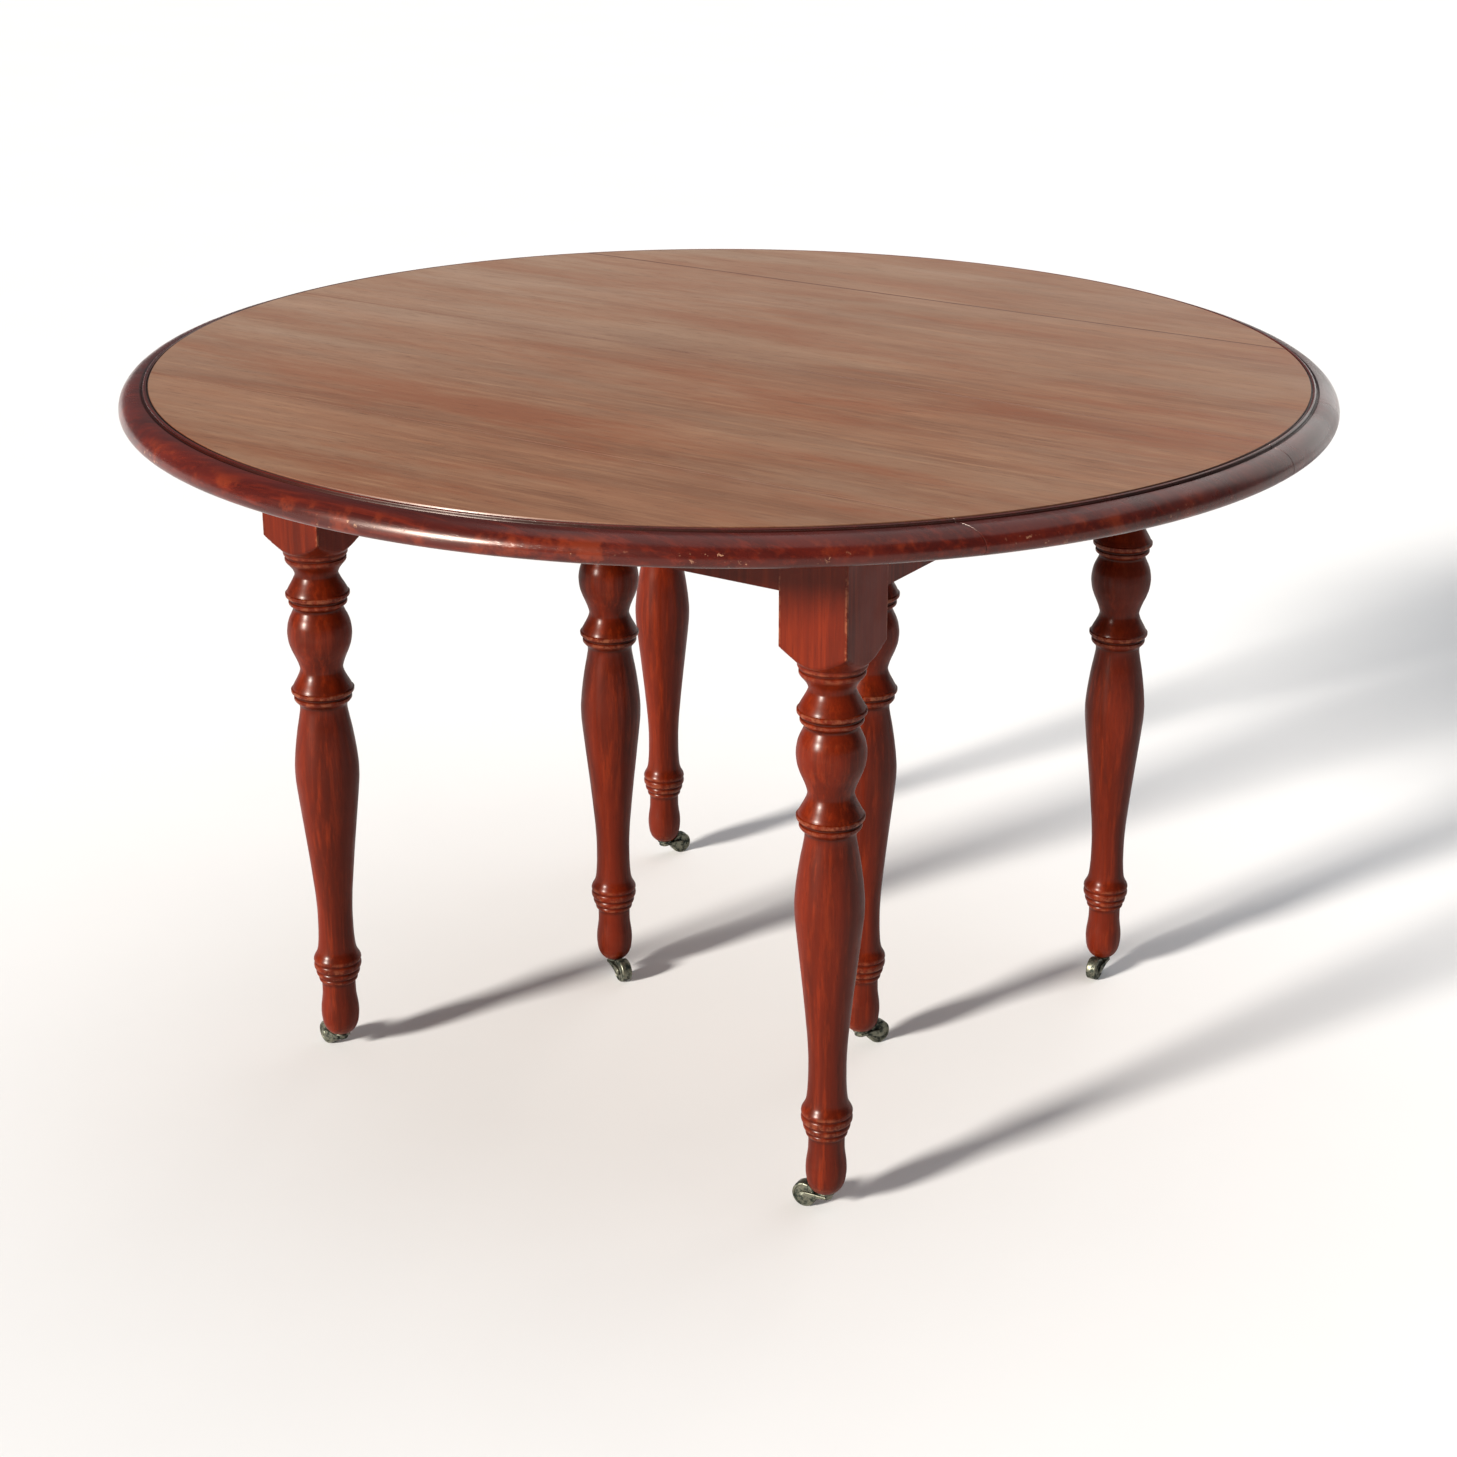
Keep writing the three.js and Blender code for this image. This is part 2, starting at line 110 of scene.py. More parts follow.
# Turning of a leg as (height above the floor, radius) at each neck, bead and change of slope.
TURNING = [
    (20.3, 8.5), (22, 11.8), (25, 14.6), (29, 16.9), (35, 18.6), (45, 19.5), (52, 19.2), (61, 18.0),
    (68, 17.3), (76, 17.2), (80, 17.4), (81.6, 18.2), (83, 19.6), (85, 20.0), (86.4, 19.3),
    (87.2, 19.3), (88.4, 20.9), (90, 22.0), (92.6, 22.5), (94, 21.7), (95, 21.6), (96, 23.0),
    (98, 24.1), (100.5, 24.4), (102.6, 24.0), (103.6, 23.2), (104.4, 23.2), (105.2, 23.9),
    (106.6, 24.4), (108.4, 24.1), (111, 22.9), (114, 21.2), (117, 20.1), (121, 19.3), (128, 18.6),
    (141, 18.0), (156, 17.9), (178, 18.8), (198, 20.5), (219, 22.5), (239, 24.6), (259, 26.8),
    (279, 29.0), (298, 31.0), (310, 32.0), (320, 32.2), (334, 31.3), (348, 29.7), (364, 27.3),
    (378, 24.7), (387, 23.5), (390, 23.9), (393, 26.2), (395, 28.0), (396.6, 28.8), (398.6, 28.8),
    (399.6, 27.4), (400.6, 27.3), (401.6, 28.6), (403, 30.4), (404.4, 31.3), (406.8, 31.4),
    (407.8, 30.0), (409, 29.6), (413, 27.6), (418, 24.9), (423, 22.6), (428, 21.3), (434, 22.6),
    (441, 25.2), (449, 28.6), (458, 31.2), (466.5, 32.0), (475, 31.1), (482, 29.0), (488, 26.2),
    (492.6, 24.6), (494.6, 25.8), (496.4, 28.0), (498, 28.9), (499.8, 28.9), (500.8, 27.6),
    (502, 27.6), (503.4, 29.2), (504.8, 31.0), (506, 31.7), (508.4, 31.7), (509.4, 30.3),
    (510.6, 29.9), (514, 28.2), (519, 25.4), (524, 22.8), (528, 21.4), (533, 23.0), (538, 26.6),
    (541.6, 29.6), (543, 30.2), (545.2, 30.2), (546.2, 29.2), (547.4, 29.4), (548.6, 31.0),
    (550, 31.6), (552.2, 31.4), (553.2, 32.2), (571.5, 50.5),
]

# ------------------------------------------------------------------ curves and meshes


def slopes(points):
    """Slope at each point of a curve that never overshoots its points."""
    steps = [(b[1] - a[1]) / (b[0] - a[0]) for a, b in zip(points, points[1:])]
    inner = [0 if a * b <= 0 else 2 * a * b / (a + b) for a, b in zip(steps, steps[1:])]
    return [steps[0], *inner, steps[-1]]


def smooth_through(points, spacing):
    """Points along the curve through (x, y) points, at most spacing apart in x."""
    result = []
    slope = slopes(points)
    for i, (a, b) in enumerate(zip(points, points[1:])):
        width = b[0] - a[0]
        count = max(2, math.ceil(width / spacing))
        for k in range(count):
            t = k / count
            value = (1 + 2 * t) * (1 - t) ** 2 * a[1] + t * t * (3 - 2 * t) * b[1]
            value += width * t * (1 - t) * ((1 - t) * slope[i] - t * slope[i + 1])
            result.append((a[0] + t * width, value))
    return [*result, points[-1]]


def square_reach(angle, half, corner):
    """Distance from the middle of a rounded square to its edge, in one direction."""
    folded = abs((angle + math.pi / 4) % (math.pi / 2) - math.pi / 4)
    if half * math.tan(folded) <= half - corner:
        return half / math.cos(folded)
    centre = half - corner
    along = centre * (math.cos(folded) + math.sin(folded))
    return along + math.sqrt(along * along - 2 * centre * centre + corner * corner)


def arc(centre, radii, start, end, count):
    """Points on an ellipse from one angle to another, in degrees."""
    points = []
    for k in range(count + 1):
        angle = math.radians(start + (end - start) * k / count)
        points.append((centre[0] + radii[0] * math.cos(angle), centre[1] + radii[1] * math.sin(angle)))
    return points


def bend(start, middle, end, count):
    """Points on a smooth bend from start to end, pulled towards middle."""
    points = []
    for k in range(count + 1):
        t = k / count
        first = [a + t * (b - a) for a, b in zip(start, middle)]
        second = [a + t * (b - a) for a, b in zip(middle, end)]
        points.append(tuple(a + t * (b - a) for a, b in zip(first, second)))
    return points


def new_mesh(name, vertices, faces):
    """Mesh from millimetre vertices, smooth with sharp edges where the shape is sharp."""
    mesh = bpy.data.meshes.new(name)
    mesh.from_pydata([[c * MM for c in v] for v in vertices], [], faces)
    finish_mesh(mesh)
    return mesh


def finish_mesh(mesh, sharp=35):
    """Smooth shading, broken where faces meet at more than sharp degrees."""
    mesh.polygons.foreach_set("use_smooth", [True] * len(mesh.polygons))
    mesh.set_sharp_from_angle(angle=math.radians(sharp))
    mesh.update()


def new_piece(name, mesh, material, matrix=None):
    """Object in the scene that shows a mesh in one material."""
    piece = bpy.data.objects.new(name, mesh)
    bpy.context.scene.collection.objects.link(piece)
    if matrix is not None:
        piece.matrix_world = matrix
    mesh.materials.clear()
    mesh.materials.append(material)
    return piece


def lathe(outline, segments, closed_loop=False):
    """Vertices and faces of (radius, height) points turned about Z. Ends on the axis are capped."""
    vertices, faces, rows = [], [], []
    for radius, height in outline:
        if radius < 1e-6:
            rows.append([len(vertices)] * segments)
            vertices.append((0, 0, height))
            continue
        rows.append(list(range(len(vertices), len(vertices) + segments)))
        for k in range(segments):
            angle = 2 * math.pi * k / segments
            vertices.append((radius * math.cos(angle), radius * math.sin(angle), height))
    pairs = list(zip(rows, rows[1:] + rows[:1])) if closed_loop else list(zip(rows, rows[1:]))
    for low, high in pairs:
        for k in range(segments):
            j = (k + 1) % segments
            corners = [low[k], low[j], high[j], high[k]]
            faces.append([v for i, v in enumerate(corners) if v != corners[i - 1]])
    return vertices, faces


# ------------------------------------------------------------------ materials


class Shader:
    """A node tree that is filled in by calls, each of which returns the new node's first output."""

    def __init__(self, name):
        self.material = bpy.data.materials.new(name)
        self.material.use_nodes = True
        self.tree = self.material.node_tree
        self.bsdf = self.tree.nodes["Principled BSDF"]

    def add(self, kind, inputs=(), **settings):
        node = self.tree.nodes.new(kind)
        for key, value in settings.items():
            setattr(node, key, value)
        for key, value in dict(inputs).items():
            self.put(node.inputs[key], value)
        return node

    def put(self, socket, value):
        """Link a socket to another, or give it a plain value."""
        if isinstance(value, bpy.types.NodeSocket):
            self.tree.links.new(value, socket)
        else:
            socket.default_value = value

    def set(self, **inputs):
        """Inputs of the Principled BSDF, with _ for each space in their names."""
        for key, value in inputs.items():
            self.put(self.bsdf.inputs[key.replace("_", " ")], value)

    def math(self, operation, a, b=0.0):
        return self.add("ShaderNodeMath", {0: a, 1: b}, operation=operation).outputs[0]

    def noise(self, vector, scale, detail=4.0, roughness=0.55, distortion=0.0):
        inputs = {"Vector": vector, "Scale": scale, "Detail": detail, "Roughness": roughness}
        inputs.update({"Lacunarity": 2.13, "Distortion": distortion})
        return self.add("ShaderNodeTexNoise", inputs).outputs["Fac"]

    def ramp(self, value, low, high, bottom=0.0, top=1.0):
        """value mapped smoothly from low..high to bottom..top."""
        inputs = {"Value": value, 1: low, 2: high, 3: bottom, 4: top}
        return self.add("ShaderNodeMapRange", inputs, interpolation_type="SMOOTHSTEP").outputs[0]

    def mix(self, share, a, b):
        """a where share is 0, b where it is 1."""
        node = self.add("ShaderNodeMix", data_type="RGBA")
        for key, value in ((0, share), (6, a), (7, b)):
            self.put(node.inputs[key], value)
        return node.outputs[2]

    def stretched(self, vector, along, share):
        """The vector squeezed along one axis, which draws a texture out along it."""
        scale = [1.0, 1.0, 1.0]
        scale[along] = share
        return self.add("ShaderNodeMapping", {"Vector": vector, "Scale": scale}).outputs[0]

    def coordinates(self):
        """Object coordinates, moved by a random step so that copies differ."""
        place = self.add("ShaderNodeTexCoord").outputs["Object"]
        step = self.math("MULTIPLY", self.add("ShaderNodeObjectInfo").outputs["Random"], 9.0)
        return self.moved_by(place, self.math("ADD", step, 3.0))

    def moved_by(self, vector, step):
        return self.add("ShaderNodeVectorMath", {0: vector, 1: step}, operation="ADD").outputs[0]

    def attribute(self, name):
        return self.add("ShaderNodeAttribute", attribute_name=name).outputs["Fac"]

    def bump(self, height, strength, distance):
        """Small relief from a height of 0 to 1, distance metres deep."""
        inputs = {"Height": height, "Strength": strength, "Distance": distance}
        self.set(Normal=self.add("ShaderNodeBump", inputs).outputs[0])


def rgba(r, g, b):
    """Colour from 0-255 screen values."""
    def linear(c):
        c /= 255
        return c / 12.92 if c <= 0.04045 else ((c + 0.055) / 1.055) ** 2.4
    return (linear(r), linear(g), linear(b), 1.0)


def grain(shader, place, along, dark, middle, light):
    """Colour of figured mahogany, and its pores as a mask."""
    bands = shader.noise(shader.stretched(place, along, 0.07), 24, 6, 0.62, 0.4)
    streaks = shader.noise(shader.stretched(place, along, 0.045), 170, 5, 0.65)
    clouds = shader.noise(shader.stretched(place, along, 0.5), 9, 4)
    colour = shader.mix(shader.ramp(bands, 0.36, 0.62), dark, middle)
    colour = shader.mix(shader.ramp(streaks, 0.45, 0.72, 0.0, 0.8), colour, light)
    colour = shader.mix(shader.ramp(clouds, 0.45, 0.7, 0.0, 0.4), colour, dark)
    pores = shader.noise(shader.stretched(place, along, 0.04), 850, 3, 0.6)
    return colour, shader.ramp(pores, 0.58, 0.68)


def polished_mahogany():
    """Red-brown french polish on the legs and aprons, darker in the turned grooves."""
    shader = Shader("polished_mahogany")
    place = shader.coordinates()
    colour, pores = grain(shader, place, 2, rgba(66, 15, 3), rgba(90, 23, 5), rgba(108, 33, 8))
    colour = shader.mix(shader.math("MULTIPLY", pores, 0.3), colour, rgba(44, 11, 4))
    grime = shader.math("MULTIPLY", shader.attribute("grime"), 0.8)
    colour = shader.mix(grime, colour, rgba(34, 10, 6))
    worn = shader.ramp(shader.noise(place, 150, 4, 0.7), 0.44, 0.6)
    wear = shader.math("MULTIPLY", shader.attribute("wear"), worn)
    colour = shader.mix(shader.math("MULTIPLY", wear, 0.5), colour, rgba(140, 84, 58))
    shader.set(Base_Color=colour)
    smears = shader.noise(place, 30, 4)
    shader.set(Roughness=shader.ramp(smears, 0.3, 0.7, 0.36, 0.52), Specular_IOR_Level=0.06)
    shader.set(Specular_Tint=(1.0, 0.5, 0.3, 1.0), Coat_Weight=0.09, Coat_IOR=2.0, Coat_Roughness=0.26)
    shader.bump(shader.math("SUBTRACT", shader.noise(place, 45, 2), pores), 0.12, 0.0006)
    return shader.material


def inwards(distance):
    """Radius, in metres, at a distance in mm from the widest line of the rim."""
    return CAD_BOUNDS[1].y - distance * MM


def faded_top_and_painted_sheen(shader, place, parts):
    """Colour of the sun-faded flat of the top, with a painted sheen that makes it paler and greyer
    towards the far left, dirty along its joints, and its pores as a mask.
    """
    top, pores = grain(shader, place, 0, rgba(122, 82, 59), rgba(140, 97, 71), rgba(156, 114, 85))
    reddish = shader.noise(shader.stretched(place, 0, 0.16), 13, 8, 0.7, 0.3)
    top = shader.mix(shader.ramp(reddish, 0.44, 0.66, 0.0, 0.8), top, rgba(132, 76, 48))
    faded = shader.noise(shader.stretched(place, 0, 0.2), 9, 8, 0.7, 0.3)
    top = shader.mix(shader.ramp(faded, 0.44, 0.66, 0.0, 0.45), top, rgba(150, 120, 97))
    # Painted sheen: a pale grey-pink is mixed in towards the far left, standing in for light the top
    # reflects at a grazing angle.
    far_left_sheen_share = shader.ramp(shader.math("SUBTRACT", parts["Y"], parts["X"]), -0.5, 0.7)
    painted_sheen = shader.math("MULTIPLY", far_left_sheen_share, shader.ramp(reddish, 0.3, 0.6, 0.75, 0.35))
    top = shader.mix(painted_sheen, top, rgba(166, 140, 122))
    top = shader.mix(shader.math("MULTIPLY", pores, 0.5), top, rgba(70, 42, 28))
    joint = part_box("leaf_rear")[0].y
    for line, dirt in ((joint, 0.8), (0.0, 0.45), (-joint, 0.35)):
        from_line = shader.math("ABSOLUTE", shader.math("SUBTRACT", parts["Y"], line))
        top = shader.mix(shader.ramp(from_line, 0.0006, 0.0030, dirt, 0.0), top, rgba(62, 26, 16))
    return top, pores


def polished_rim(shader, place, radius):
    """Colour of the dark moulded rim, rubbed and chipped on its nose, with dirt in its quirks."""
    rim = grain(shader, place, 0, rgba(54, 10, 6), rgba(74, 16, 8), rgba(92, 25, 10))[0]
    nose = shader.ramp(radius, inwards(14), inwards(2), 0.0, 0.6)
    worn = shader.ramp(shader.noise(place, 16, 5, 0.65), 0.52, 0.64)
    rim = shader.mix(shader.math("MULTIPLY", worn, nose), rim, rgba(112, 40, 16))
    chips = shader.ramp(shader.noise(place, 170, 4, 0.7), 0.63, 0.66)
    chips = shader.math("MULTIPLY", chips, shader.ramp(shader.noise(place, 9, 2), 0.52, 0.6))
    chips = shader.math("MULTIPLY", chips, shader.ramp(radius, inwards(2.5), inwards(0.8), 0.0, 0.7))
    rim = shader.mix(chips, rim, rgba(170, 128, 100))
    for quirk in (INNER_QUIRK, OUTER_QUIRK):
        from_quirk = shader.math("ABSOLUTE", shader.math("SUBTRACT", radius, inwards(quirk)))
        rim = shader.mix(shader.ramp(from_quirk, 0.0005, 0.0013, 0.75, 0.0), rim, rgba(26, 9, 6))
    return rim


def table_top_wood():
    """Worn, faded top with a painted sheen towards the far left, and a darker, glossier moulded rim.
    """
    shader = Shader("table_top_wood")
    centred = shader.add("ShaderNodeTexCoord").outputs["Object"]
    parts = shader.add("ShaderNodeSeparateXYZ", {0: centred}).outputs
    flat = shader.add("ShaderNodeCombineXYZ", {"X": parts["X"], "Y": parts["Y"]}).outputs[0]
    radius = shader.add("ShaderNodeVectorMath", {0: flat}, operation="LENGTH").outputs["Value"]
    place = shader.moved_by(centred, (5.3, 2.7, 4.1))

    top, pores = faded_top_and_painted_sheen(shader, place, parts)
    on_rim = shader.ramp(radius, inwards(MOULDING_WIDTH + 0.4), inwards(MOULDING_WIDTH - 0.6))
    shader.set(Base_Color=shader.mix(on_rim, top, polished_rim(shader, place, radius)))
    smears = shader.noise(shader.stretched(place, 0, 0.3), 14, 4)
    matt = shader.ramp(smears, 0.3, 0.7, 0.40, 0.54)
    shader.set(Roughness=shader.math("ADD", matt, shader.math("MULTIPLY", on_rim, -0.22)))
    shader.set(Specular_IOR_Level=0.42, Specular_Tint=(1.0, 0.85, 0.78, 1.0))
    shader.set(Coat_Weight=0.05, Coat_Roughness=0.2)
    height = shader.math("SUBTRACT", shader.noise(shader.stretched(place, 0, 0.1), 60, 3), pores)
    shader.bump(height, 0.10, 0.0006)
    return shader.material


def bare_wood():
    """Unpolished wood of the sliding gear inside the frame."""
    shader = Shader("bare_wood")
    place = shader.coordinates()
    colour, pores = grain(shader, place, 1, rgba(112, 72, 46), rgba(142, 98, 66), rgba(164, 120, 84))
    colour = shader.mix(shader.math("MULTIPLY", pores, 0.6), colour, rgba(70, 42, 26))
    dirt = shader.ramp(shader.noise(place, 12, 4), 0.5, 0.75, 0.0, 0.5)
    shader.set(Base_Color=shader.mix(dirt, colour, rgba(72, 48, 34)))
    shader.set(Roughness=shader.ramp(shader.noise(place, 60, 3), 0.3, 0.7, 0.6, 0.8))
    shader.bump(shader.math("SUBTRACT", shader.noise(place, 200, 3), pores), 0.3, 0.0008)
    return shader.material


def aged_brass():
    """Brass gone green-black, brighter where it rubs."""
    shader = Shader("aged_brass")
    place = shader.coordinates()
    patina = shader.ramp(shader.noise(place, 170, 5, 0.65), 0.42, 0.62)
    colour = shader.mix(patina, rgba(112, 112, 98), rgba(42, 48, 43))
    green = shader.ramp(shader.noise(place, 320, 4, 0.6), 0.58, 0.68, 0.0, 0.6)
    colour = shader.mix(green, colour, rgba(58, 76, 64))
    shader.set(Base_Color=colour)
    shader.set(Metallic=shader.math("SUBTRACT", 0.85, shader.math("MULTIPLY", green, 0.7)))
    shader.set(Roughness=shader.ramp(patina, 0.0, 1.0, 0.40, 0.66))
    shader.bump(shader.noise(place, 600, 4, 0.6), 0.25, 0.0005)
    return shader.material


def rusted_iron():
    """Dull wrought iron with a little rust."""
    shader = Shader("rusted_iron")
    place = shader.coordinates()
    rust = shader.ramp(shader.noise(place, 150, 5, 0.7), 0.5, 0.68)
    shader.set(Base_Color=shader.mix(rust, rgba(70, 66, 62), rgba(104, 62, 38)))
    shader.set(Metallic=shader.math("SUBTRACT", 0.85, shader.math("MULTIPLY", rust, 0.7)))
    shader.set(Roughness=shader.ramp(rust, 0.0, 1.0, 0.42, 0.8))
    shader.bump(shader.noise(place, 700, 4, 0.65), 0.3, 0.0005)
    return shader.material


def pale_floor():
    """Matt off-white floor with a faint unevenness."""
    shader = Shader("pale_floor")
    place = shader.add("ShaderNodeTexCoord").outputs["Object"]
    tone = shader.ramp(shader.noise(place, 3, 3), 0.3, 0.7)
    shader.set(Base_Color=shader.mix(tone, (0.815, 0.82, 0.83, 1), (0.825, 0.83, 0.84, 1)))
    shader.set(Roughness=0.8)
    return shader.material


# ------------------------------------------------------------------ the round top


def edge_moulding(radius, underside, top):
    """(radius, height) from the middle of the underside, round the edge, to the middle of the top."""
    lower = radius - LOWER_ROUND
    outer = radius - OUTER_QUIRK
    inner = radius - INNER_QUIRK
    waist = underside + LOWER_ROUND
    outline = [(0, underside), (radius * 0.6, underside), (lower, underside)]
    outline += arc((lower, waist), (LOWER_ROUND, LOWER_ROUND), -80, -10, 6)
    outline += arc((radius - OVOLO_WIDTH, waist), (OVOLO_WIDTH, OVOLO_HEIGHT), 0, 86, 18)
    outline += [(outer + 0.6, top - OUTER_QUIRK_DEPTH), (outer, top - OUTER_QUIRK_DEPTH)]
    outline += [(outer - 0.4, top - BEAD_RISE - 1)]
    outline += arc((radius - BEAD, top - BEAD_WIDTH / 2), (BEAD_WIDTH / 2, BEAD_RISE), 10, 170, 6)
    outline += [(inner + 0.5, top - INNER_QUIRK_DEPTH), (inner - 0.1, top - INNER_QUIRK_DEPTH)]
    outline += [(radius - MOULDING_WIDTH, top), (radius * 0.6, top), (0, top)]
    return outline


def cut_board(disc, name, near, far):
    """The part of the disc between two distances from the centre line, with its cut edges eased."""
    board = bmesh.new()
    board.from_mesh(disc)
    for place, keep in ((near, 1), (far, -1)):
        if place is None:
            continue
        geometry = board.verts[:] + board.edges[:] + board.faces[:]
        plane = {"plane_co": (0, place, 0), "plane_no": (0, keep, 0)}
        cut = bmesh.ops.bisect_plane(board, geom=geometry, clear_inner=True, **plane)
        loop = [g for g in cut["geom_cut"] if isinstance(g, bmesh.types.BMEdge)]
        bmesh.ops.edgeloop_fill(board, edges=loop)
        rim = [e for e in loop if e.is_valid]
        easing = {"offset": JOINT_ROUNDING * MM, "segments": 2, "profile": 0.5}
        bmesh.ops.bevel(board, geom=rim, affect="EDGES", **easing)
    bmesh.ops.recalc_face_normals(board, faces=board.faces[:])
    mesh = bpy.data.meshes.new(name)
    board.to_mesh(mesh)
    board.free()
    finish_mesh(mesh, 18)
    return mesh


def make_top(material):
    """The four boards of the round top, cut from one moulded disc."""
    high = CAD_BOUNDS[1]
    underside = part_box("half_top_front")[0].z / MM
    outline = edge_moulding(high.y / MM, underside, high.z / MM)
    vertices, faces = lathe(outline, RIM_SEGMENTS)
    disc = new_mesh("disc", vertices, faces)
    for end, side in ENDS.items():
        for kind, body in (("half_top", f"half_{end}"), ("leaf", f"leaf_{end}")):
            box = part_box(f"{kind}_{end}")
            near, far = box[0].y, box[1].y
            if kind == "leaf":
                near, far = (None, far) if side < 0 else (near, None)
            mesh = cut_board(disc, f"{kind}_{end}", near, far)
            board = new_piece(f"{kind}_{end}_board", mesh, material)
            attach(board, body)
            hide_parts(f"{kind}_{end}")
    bpy.data.meshes.remove(disc)


# ------------------------------------------------------------------ turned legs


def ring_angles():
    """Even steps round the leg, with more of them at the corners of its block."""
    angles = {2 * math.pi * k / RING_SEGMENTS for k in range(RING_SEGMENTS)}
    for corner in range(4):
        for degrees in (-2.4, -1.2, 1.2, 2.4):
            angles.add(math.radians(45 + 90 * corner + degrees))
    return sorted(angles)


def proud_of_neighbours(rows, k, reach=4):
    """How far a ring stands out from the rings near it, in mm."""
    height = rows[k][0]
    near = [radius for z, radius in rows if abs(z - height) <= reach]
    return rows[k][1] - sum(near) / len(near)


def stacked_faces(rows, count):
    """Quads between rings of count points each, and a cap at each end."""
    faces = []
    for row in range(rows - 1):
        for k in range(count):
            j = (k + 1) % count
            a, b = row * count, (row + 1) * count
            faces.append((a + k, a + j, b + j, b + k))
    faces.append(tuple(reversed(range(count))))
    faces.append(tuple(range((rows - 1) * count, rows * count)))
    return faces


def leg_mesh(name, half, top):
    """A turned square blank: wherever the turning is wider than the square, the square is left."""
    turned_rows = smooth_through(TURNING, RING_SPACING)
    clear_of_block = 2 * half
    blank_rows = [(height, clear_of_block) for height in (TURNING[-1][0] + 6, top - 30, top - 1, top)]
    rows = turned_rows + blank_rows
    angles = ring_angles()
    vertices, wear, grime = [], [], []
    for k, (height, radius) in enumerate(rows):
        turned = k < len(turned_rows)
        proud = proud_of_neighbours(turned_rows, k) if turned and radius < half else 0
        inset = 1 if height == top else 0
        for angle in angles:
            square = square_reach(angle, half - inset, BLOCK_CORNER)
            reach = min(radius, square)
            at_corner = reach == square and square > CORNER_REACH * half
            vertices.append((reach * math.cos(angle), reach * math.sin(angle), height))
            wear.append(1.0 if at_corner else min(1, max(0, proud / FULLY_WORN)))
            grime.append(min(1, max(0, -proud / FULLY_GRIMY)) if reach < square else 0)
    mesh = new_mesh(name, vertices, stacked_faces(len(rows), len(angles)))
    for label, values in (("wear", wear), ("grime", grime)):
        mesh.attributes.new(label, "FLOAT", "POINT").data.foreach_set("value", values)
    return mesh


def make_legs(material):
    """The six legs, each turned a quarter from the last so that their grain differs."""
    for number, place in enumerate(PLACES):
        low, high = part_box(f"leg_{place}")
        centre = (low + high) / 2
        mesh = leg_mesh(f"leg_{place}", (high.x - low.x) / 2 / MM, high.z / MM)
        turn = Matrix.Rotation(math.radians(90 * number), 4, "Z")
        matrix = Matrix.Translation((centre.x, centre.y, 0)) @ turn
        leg = new_piece(f"turned_leg_{place}", mesh, material, matrix)
        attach(leg, "carriage" if place.startswith("middle") else f"half_{place.split('_')[0]}")
        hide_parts(f"leg_{place}")


# ------------------------------------------------------------------ castors


def extrude_outline(outline, low, high):
    """Closed solid of an XZ outline between two Y values."""
    count = len(outline)
    vertices = [(x, y, z) for y in (low, high) for x, z in outline]
    faces = [tuple(range(count)), tuple(reversed(range(count, 2 * count)))]
    faces += [(k, k + count, (k + 1) % count + count, (k + 1) % count) for k in range(count)]
    return vertices, faces


def moved(shape, matrix):
    """Vertices and faces of a shape after a move."""
    vertices, faces = shape
    return [tuple(matrix @ Vector(v)) for v in vertices], faces


def cast_together(name, shapes, voxel):
    """One casting from overlapping shapes, with softened corners."""
    vertices, faces = [], []
    for shape_vertices, shape_faces in shapes:
        start = len(vertices)
        vertices += shape_vertices
        faces += [[v + start for v in face] for face in shape_faces]
    rough = new_mesh(f"{name}_rough", vertices, faces)
    holder = bpy.data.objects.new(f"{name}_rough", rough)
    bpy.context.scene.collection.objects.link(holder)
    remesh = holder.modifiers.new("cast", "REMESH")
    remesh.mode = "VOXEL"
    remesh.voxel_size = voxel * MM
    soften = holder.modifiers.new("soften", "SMOOTH")
    soften.factor = 0.5
    soften.iterations = 3
    shaped = holder.evaluated_get(bpy.context.evaluated_depsgraph_get())
    mesh = bpy.data.meshes.new_from_object(shaped)
    mesh.name = name
    bpy.data.objects.remove(holder)
    bpy.data.meshes.remove(rough)
    finish_mesh(mesh, 60)
    return mesh


def horn_mesh(wheel_radius, trail, top):
    """Swivel hub, shoulder, two curved cheeks and the riveted axle, pointing along +X."""
    bottom = wheel_radius + GAP
    hub_outline = [(0, bottom), (HUB_RADIUS - 0.6, bottom), (HUB_RADIUS, bottom + 0.7)]
    hub = lathe([*hub_outline, (HUB_RADIUS, top), (0, top)], 32)
    under_shoulder = top - SHOULDER_DEPTH
    shoulder_outline = [(-4, top), (-4, under_shoulder), (7.2, under_shoulder), (7.2, top)]
    shoulder = extrude_outline(shoulder_outline, -CHEEK_OUTER, CHEEK_OUTER)
    eye = arc((trail, wheel_radius), (EYE_RADIUS, EYE_RADIUS), -120, 80, 12)
    cheek_outline = bend((1, under_shoulder), (9, top - 4), eye[0], 6) + eye[1:]
    cheek_outline += bend(eye[-1], (13, top + 0.4), (1, top), 6)
    shapes = [hub, shoulder]
    for side in (-1, 1):
        edges = sorted((side * CHEEK_INNER, side * CHEEK_OUTER))
        shapes.append(extrude_outline(cheek_outline, *edges))
    to_axle = Matrix.Translation((trail, 0, wheel_radius)) @ Matrix.Rotation(math.pi / 2, 4, "X")
    head = CHEEK_OUTER + RIVET_STAND
    axle = [(0, -head), (2, -head), (RIVET_RADIUS, 0.6 - head), (RIVET_RADIUS, 1.2 - head)]
    axle.append((AXLE_RADIUS, 1.4 - head))
    axle += [(radius, -height) for radius, height in reversed(axle)]
    shapes.append(moved(lathe(axle, 24), to_axle))
    return cast_together("castor_horn", shapes, CASTING_DETAIL)


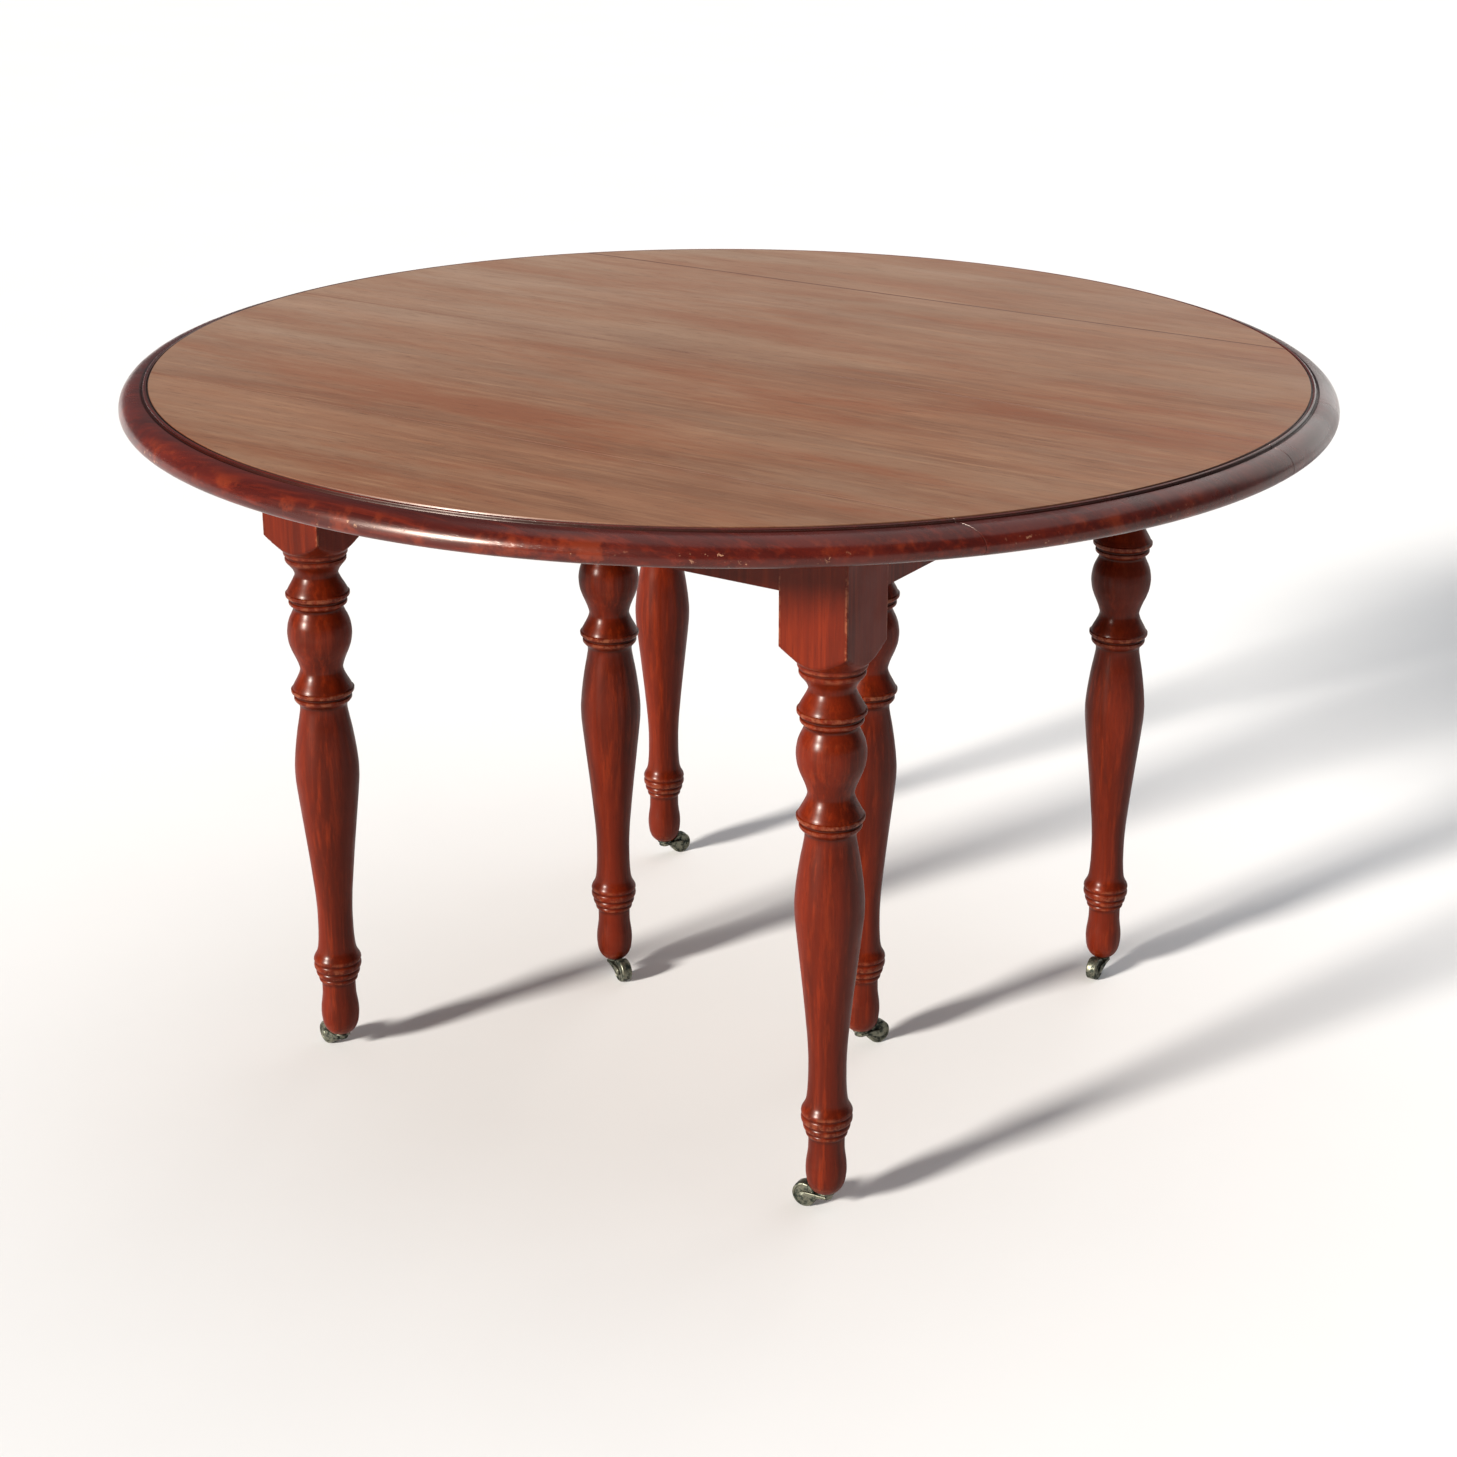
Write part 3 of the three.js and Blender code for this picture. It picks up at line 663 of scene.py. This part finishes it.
def wheel_mesh(radius):
    """Crowned tread, dished sides and a hub boss round the bore, about the Z axis."""
    half = WHEEL_HALF_WIDTH
    boss = [(WHEEL_BORE, half), (4.2, half), (4.9, half - 0.9)]
    side = [*boss, (radius - 3.2, half - 1.1), (radius - 2.4, half - 0.2)]
    side += arc((radius - 1.8, half - 1.9), (1.7, 1.7), 80, 10, 4)
    outline = side + [(radius, 0)] + [(r, -h) for r, h in reversed(side)]
    vertices, faces = lathe(outline, 48, closed_loop=True)
    return new_mesh("castor_wheel", vertices, faces)


def plate_mesh(low, high, radius):
    """Round fixing plate with a rolled edge, on the Z axis."""
    middle, half = (low + high) / 2, (high - low) / 2
    outline = [(0, low), (radius - half, low)]
    outline += arc((radius - half, middle), (half, half), -70, 70, 6)
    outline += [(radius - half, high), (0, high)]
    vertices, faces = lathe(outline, 40)
    return new_mesh("castor_plate", vertices, faces)


def make_castors(material):
    """Plate, horn and wheel under each leg, turned the way their joints stand at rest."""
    joints = {joint["name"]: joint for joint in frame["joints"]}
    axle = Vector(joints["castor_middle_left_roll"]["pos_m"])
    swivel = Vector(joints["castor_middle_left_swivel"]["pos_m"])
    wheel_radius, trail = axle.z / MM, (axle - swivel).length / MM
    horn_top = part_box("castor_horn_middle_left")[1].z / MM
    plate_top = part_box("leg_middle_left")[0].z / MM - GAP
    horn = horn_mesh(wheel_radius, trail, horn_top)
    wheel = wheel_mesh(wheel_radius)
    plate = plate_mesh(horn_top + GAP, plate_top, PLATE_RADIUS)
    for place in PLACES:
        axle = Vector(joints[f"castor_{place}_roll"]["pos_m"])
        swivel = Vector(joints[f"castor_{place}_swivel"]["pos_m"])
        out = axle - swivel
        turn = Matrix.Rotation(math.atan2(out.y, out.x), 4, "Z")
        foot = Matrix.Translation((swivel.x, swivel.y, 0)) @ turn
        on_axle = Matrix.Translation(axle) @ turn @ Matrix.Rotation(math.pi / 2, 4, "X")
        leg_body = "carriage" if place.startswith("middle") else f"half_{place.split('_')[0]}"
        for kind, mesh, matrix, body in (
            ("plate", plate, foot, leg_body),
            ("horn", horn, foot, f"castor_horn_{place}"),
            ("wheel", wheel, on_axle, f"castor_wheel_{place}"),
        ):
            piece = new_piece(f"brass_{kind}_{place}", mesh, material, matrix)
            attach(piece, body)
            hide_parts(f"castor_{kind}_{place}")


# ------------------------------------------------------------------ CAD pieces that stay


def dress_cad_nodes(looks):
    """Eased edges and a finish for the CAD pieces whose shape is already right."""
    for name, node in frame["nodes"].items():
        kind = next((k for k in looks if name.startswith(k)), None)
        if kind is None:
            continue
        node.data.materials.clear()
        node.data.materials.append(looks[kind])
        if kind == "hinge":
            continue
        easing = node.modifiers.new("eased_edges", "BEVEL")
        easing.width = BOARD_ROUNDING * MM
        easing.segments = 2
        easing.limit_method = "ANGLE"
        easing.angle_limit = math.radians(40)


# ------------------------------------------------------------------ camera, floor and light


def make_camera():
    """Standing height, looking down at the table from its front right."""
    place = (1.440, -2.199, 1.352)
    yaw, pitch, roll = -0.5384, 0.3409, -0.0137
    ahead = Vector((math.sin(yaw), math.cos(yaw), 0))
    forward = math.cos(pitch) * ahead - Vector((0, 0, math.sin(pitch)))
    level = Vector((math.cos(yaw), -math.sin(yaw), 0))
    down = forward.cross(level)
    right = math.cos(roll) * level + math.sin(roll) * down
    up = math.sin(roll) * level - math.cos(roll) * down
    camera = bpy.data.objects.new("camera", bpy.data.cameras.new("camera"))
    turn = Matrix((right, up, -forward)).transposed().to_4x4()
    camera.matrix_world = Matrix.Translation(place) @ turn
    camera.data.lens = 66.15
    camera.data.shift_x = -0.0758
    camera.data.shift_y = -0.0559
    bpy.context.scene.collection.objects.link(camera)
    bpy.context.scene.camera = camera


def soft_light(name, toward, strength, spread, colour):
    """Even light from one direction, as from a large far-off softbox spread degrees across."""
    data = bpy.data.lights.new(name, "SUN")
    data.energy = strength
    data.angle = math.radians(spread)
    data.color = colour
    light = bpy.data.objects.new(name, data)
    light.rotation_euler = Vector(toward).to_track_quat("Z", "Y").to_euler()
    bpy.context.scene.collection.objects.link(light)


def studio_world():
    """Dim even light all round, with a white backdrop behind the floor."""
    world = bpy.data.worlds.new("studio")
    world.use_nodes = True
    nodes, links = world.node_tree.nodes, world.node_tree.links
    light = nodes["Background"]
    light.inputs["Color"].default_value = (0.90, 0.95, 1.0, 1)
    light.inputs["Strength"].default_value = 0.16
    backdrop = nodes.new("ShaderNodeBackground")
    backdrop.inputs["Color"].default_value = (1, 1, 1, 1)
    both = nodes.new("ShaderNodeMixShader")
    links.new(nodes.new("ShaderNodeLightPath").outputs["Is Camera Ray"], both.inputs[0])
    links.new(light.outputs[0], both.inputs[1])
    links.new(backdrop.outputs[0], both.inputs[2])
    links.new(both.outputs[0], nodes["World Output"].inputs["Surface"])
    return world


def make_studio():
    """Pale floor, a soft key from the front left, and soft fill from above and behind."""
    bpy.ops.mesh.primitive_plane_add(size=80)
    floor = bpy.context.object
    floor.name = "floor"
    floor.data.materials.append(pale_floor())
    soft_light("key", (-0.342, -0.940, 0.35), 7.6, 9, (1.0, 0.94, 0.86))
    soft_light("overhead", (0.1, 0.25, 1.0), 1.0, 70, (0.95, 0.97, 1.0))
    soft_light("sheen", (0.1, 1.0, 0.36), 0.7, 50, (1.0, 0.98, 0.95))
    bpy.context.scene.world = studio_world()
    bpy.context.scene.view_settings.view_transform = "Standard"


# ------------------------------------------------------------------ build

mahogany = polished_mahogany()
inner_wood = bare_wood()
brass = aged_brass()
make_top(table_top_wood())
make_legs(mahogany)
make_castors(brass)
dress_cad_nodes({
    "end_apron": mahogany,
    "side_apron": mahogany,
    "runner": inner_wood,
    "carriage": inner_wood,
    "loper": inner_wood,
    "split_dowel": inner_wood,
    "hinge": rusted_iron(),
})
make_camera()
make_studio()
